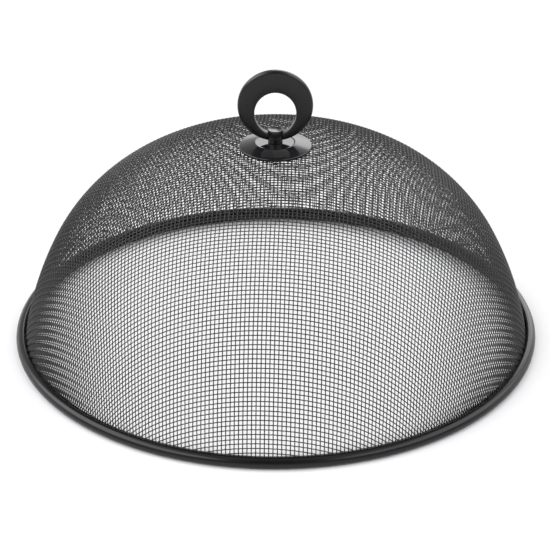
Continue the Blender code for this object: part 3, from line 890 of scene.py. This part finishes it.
# Where each of them begins and ends: soft edges, in parts of the direction along X, Y or Z
WALL_EDGE = (-0.3, 0.3)         # Y
BOX_LEFT_EDGE = (-0.08, -0.02)  # X over Y
BOX_RIGHT_EDGE = (0.5, 0.75)    # X over Y
BOX_NEAR_EDGE = (0.0, 0.2)      # Y
LEAST_AHEAD = 0.05              # Y, so that X over Y stays finite
OVERHEAD_EDGE = (0.86, 0.93)    # Z
GAP_EDGE = (0.04, 0.16)         # X
BELT_LOW = (0.25, 0.5)          # Z
BELT_HIGH = (0.84, 0.9)         # Z
BELT_FAR = (0.5, 0.75)          # Y
BELT_NEAR = (-0.95, -0.7)       # Y
LEFT_EDGE = (-0.40, -0.28)      # X
RIGHT_EDGE = (0.28, 0.40)       # X

FLOOR_SIZE = 8.0
FLOOR_GLOW = 0.85               # share of the painted glow on the floor away from the rim, over the paper's lamplit shade
FLOOR_IN_GLOSS = 0.7            # brightness of the floor in the gloss of the coats
SHADOW_SHIFT = (4 * MM, 2 * MM, 0)  # the ring of painted shade lies a little to the left and to the front
SHADOW_EDGE = (4 * MM, 24 * MM)     # the glow fades in between these distances from the middle of the rim's underside; nearer, the ring is painted shade with the paper's real shadow in it

# The camera, fitted to the photo
LENS = 131.04
SENSOR = 36.0
CAMERA_PLACE = (0.0, -1.20352, 0.68152)
CAMERA_PITCH, CAMERA_ROLL, CAMERA_YAW = (math.radians(turn) for turn in (28.003, -0.15, -0.023))
CLIP_NEAR, CLIP_FAR = 0.05, 20.0


class FOODCOVER_OT_set_stage(bpy.types.Operator):
    """Lay the white floor, hang the soft lamps and place the camera"""
    bl_idname = "food_cover.set_stage"
    bl_label = "Set the stage"
    bl_options = {"REGISTER", "UNDO"}

    def execute(self, context):
        self.floor(context)
        self.surroundings(context)
        self.camera(context)
        return {"FINISHED"}

    def floor(self, context):
        """White paper with a painted glow over its lamplit shade, except in a band under the rim: there the
        glow is held back as painted shade, and the paper's own shadow shows in it.
        """
        drop_selection()
        bpy.ops.mesh.primitive_plane_add(size=FLOOR_SIZE)
        floor = context.object
        floor.name = floor.data.name = "floor"
        made, tree = new_material("white studio floor")
        seen = add_node(tree, "ShaderNodeLightPath").outputs
        shown = add_node(tree, "ShaderNodeMath", {"operation": "MAXIMUM"},
                         {0: seen["Is Camera Ray"], 1: seen["Is Glossy Ray"]}).outputs[0]
        shown = add_node(tree, "ShaderNodeMath", {"operation": "MAXIMUM"},
                         {0: shown, 1: seen["Is Transmission Ray"]}).outputs[0]
        place = add_node(tree, "ShaderNodeTexCoord").outputs["Object"]
        # Painted shade: this shifts the ring where the glow is held back a little to the left and to the
        # front
        place = add_node(tree, "ShaderNodeVectorMath", {"operation": "ADD"},
                         {0: place, 1: SHADOW_SHIFT}).outputs["Vector"]
        radius = add_node(tree, "ShaderNodeVectorMath", {"operation": "LENGTH"}, {0: place}).outputs["Value"]
        away = add_node(tree, "ShaderNodeMath", {"operation": "SUBTRACT"},
                        {0: radius, 1: (COVER_R + LEG_R) / 2}).outputs[0]
        away = add_node(tree, "ShaderNodeMath", {"operation": "ABSOLUTE"}, {0: away}).outputs[0]
        # Painted shade, partly real: the glow is held back in a ring round the rim; inside it the paper's
        # real shadow from the lamps shows, while the ring's reach and shift paint where it falls
        glow = add_node(tree, "ShaderNodeMapRange", {"interpolation_type": "SMOOTHSTEP"},
                        {"Value": away, "From Min": SHADOW_EDGE[0], "From Max": SHADOW_EDGE[1],
                         "To Min": 0.0, "To Max": FLOOR_GLOW}).outputs["Result"]
        share = add_node(tree, "ShaderNodeMath", {"operation": "MULTIPLY"}, {0: shown, 1: glow}).outputs[0]
        strength = add_node(tree, "ShaderNodeMapRange", None,
                            {"Value": seen["Is Glossy Ray"], "To Min": 1.0,
                             "To Max": FLOOR_IN_GLOSS}).outputs["Result"]
        paper = add_node(tree, "ShaderNodeBsdfDiffuse", None,
                         {"Color": (*context.scene.cover_colours.floor, 1.0)}).outputs["BSDF"]
        white = add_node(tree, "ShaderNodeEmission", None, {"Strength": strength}).outputs["Emission"]
        mixed = add_node(tree, "ShaderNodeMixShader", None, {0: share, 1: paper, 2: white}).outputs["Shader"]
        add_node(tree, "ShaderNodeOutputMaterial", None, {"Surface": mixed})
        floor.data.materials.append(made)

    def surroundings(self, context):
        """The studio by direction: a pale wall behind that darkens upwards, a softbox in it to the
        right, a wide softbox on each side, faint lamps overhead and a dim room on the camera's side.
        The camera sees plain white."""
        world = bpy.data.worlds.new("studio")
        context.scene.world = world
        world.use_nodes = True
        tree = world.node_tree
        tree.nodes.clear()
        place = add_node(tree, "ShaderNodeTexCoord").outputs["Generated"]
        split = add_node(tree, "ShaderNodeSeparateXYZ", None, {"Vector": place}).outputs

        def math_node(kind, a, b):
            return add_node(tree, "ShaderNodeMath", {"operation": kind}, {0: a, 1: b}).outputs[0]

        def step_up(value, edge, top=1.0, bottom=0.0):
            return add_node(tree, "ShaderNodeMapRange", {"interpolation_type": "SMOOTHSTEP"},
                            {"Value": value, "From Min": edge[0], "From Max": edge[1],
                             "To Min": bottom, "To Max": top}).outputs["Result"]

        def by_height(levels, top):
            """Brightness by the height of the direction, from pairs of height and brightness."""
            made = add_node(tree, "ShaderNodeValToRGB", None, {"Fac": split["Z"]})
            ends = made.color_ramp.elements
            for height, level in levels:
                element = ends[0] if height == 0 else ends[-1] if height == 1 else ends.new(height)
                element.color = (level / top, level / top, level / top, 1.0)
            return math_node("MULTIPLY", made.outputs["Color"], top)

        wall = by_height(WALL_LEVELS, WALL_TOP)
        wall = math_node("MULTIPLY", wall, step_up(split["Y"], WALL_EDGE, 1.0, ROOM_SHARE))
        box = by_height(BOX_LEVELS, BOX_TOP)
        ahead = math_node("MAXIMUM", split["Y"], LEAST_AHEAD)
        across = math_node("DIVIDE", split["X"], ahead)
        inside = math_node("MULTIPLY", step_up(across, BOX_LEFT_EDGE),
                           step_up(across, BOX_RIGHT_EDGE, 0.0, 1.0))
        inside = math_node("MULTIPLY", inside, step_up(split["Y"], BOX_NEAR_EDGE))
        level = add_node(tree, "ShaderNodeMix", {"data_type": "FLOAT"},
                         {"Factor": inside, "A": wall, "B": box}).outputs["Result"]
        # Two faint lamps overhead with a gap between them
        overhead = step_up(split["Z"], OVERHEAD_EDGE, OVERHEAD)
        beside = step_up(math_node("ABSOLUTE", split["X"], 0.0), GAP_EDGE, 1.0, OVERHEAD_GAP)
        level = math_node("ADD", level, math_node("MULTIPLY", overhead, beside))
        # A wide softbox on each side, from about 15 to 65 degrees above the floor
        belt = math_node("MULTIPLY", step_up(split["Z"], BELT_LOW),
                         step_up(split["Z"], BELT_HIGH, 0.0, 1.0))
        belt = math_node("MULTIPLY", belt, step_up(split["Y"], BELT_FAR, 0.0, 1.0))
        belt = math_node("MULTIPLY", belt, step_up(split["Y"], BELT_NEAR))
        left = step_up(split["X"], LEFT_EDGE, 0.0, LEFT_BOX)
        right = step_up(split["X"], RIGHT_EDGE, RIGHT_BOX)
        sides = math_node("ADD", left, right)
        level = math_node("ADD", level, math_node("MULTIPLY", belt, sides))
        seen = add_node(tree, "ShaderNodeLightPath").outputs["Is Camera Ray"]
        shown = add_node(tree, "ShaderNodeMix", {"data_type": "FLOAT"},
                         {"Factor": seen, "A": level, "B": 1.0}).outputs["Result"]
        sky = add_node(tree, "ShaderNodeBackground", None, {"Color": shown, "Strength": 1.0})
        add_node(tree, "ShaderNodeOutputWorld", None, {"Surface": sky.outputs["Background"]})

    def camera(self, context):
        """The camera, where the photo was taken from."""
        data = bpy.data.cameras.new("camera")
        data.sensor_width = SENSOR
        data.lens = LENS
        data.clip_start = CLIP_NEAR
        data.clip_end = CLIP_FAR
        camera = bpy.data.objects.new("camera", data)
        context.scene.collection.objects.link(camera)
        pitch, roll, yaw = CAMERA_PITCH, CAMERA_ROLL, CAMERA_YAW
        ahead = Vector((math.sin(yaw) * math.cos(pitch), math.cos(yaw) * math.cos(pitch), -math.sin(pitch)))
        right = ahead.cross(Vector((0, 0, 1))).normalized()
        above = right.cross(ahead)
        across = right * math.cos(roll) + above * math.sin(roll)
        up = above * math.cos(roll) - right * math.sin(roll)
        turned = Matrix((across, up, -ahead)).transposed().to_4x4()
        camera.matrix_world = Matrix.Translation(CAMERA_PLACE) @ turned
        context.scene.camera = camera


class FOODCOVER_PT_panel(bpy.types.Panel):
    """Sizes, colours and steps of the food cover"""
    bl_idname = "FOODCOVER_PT_panel"
    bl_label = "Mesh food cover"
    bl_space_type = "VIEW_3D"
    bl_region_type = "UI"
    bl_category = "Food cover"

    def draw(self, context):
        for group in (context.scene.cover_sizes, context.scene.cover_colours):
            box = self.layout.box()
            for name in group.bl_rna.properties.keys():
                if name not in ("rna_type", "name"):
                    box.prop(group, name)
        for step in STEPS:
            self.layout.operator(step.bl_idname)


STEPS = (
    FOODCOVER_OT_weave_cloth,
    FOODCOVER_OT_curl_rim,
    FOODCOVER_OT_turn_disc,
    FOODCOVER_OT_turn_post,
    FOODCOVER_OT_form_ring,
    FOODCOVER_OT_fit_fastener,
    FOODCOVER_OT_set_stage,
)
CLASSES = (CoverSizes, CoverColours, *STEPS, FOODCOVER_PT_panel)


def register():
    for each in CLASSES:
        bpy.utils.register_class(each)
    bpy.types.Scene.cover_sizes = PointerProperty(type=CoverSizes)
    bpy.types.Scene.cover_colours = PointerProperty(type=CoverColours)


def unregister():
    del bpy.types.Scene.cover_colours
    del bpy.types.Scene.cover_sizes
    for each in reversed(CLASSES):
        bpy.utils.unregister_class(each)


def main():
    register()
    bpy.ops.food_cover.weave_cloth()
    bpy.ops.food_cover.curl_rim()
    bpy.ops.food_cover.turn_disc()
    bpy.ops.food_cover.turn_post()
    bpy.ops.food_cover.form_ring()
    bpy.ops.food_cover.fit_fastener()
    bpy.ops.food_cover.set_stage()
    drop_selection()
    bpy.context.view_layer.update()
    bpy.context.scene.view_settings.view_transform = "Standard"


if __name__ == "__main__":
    main()
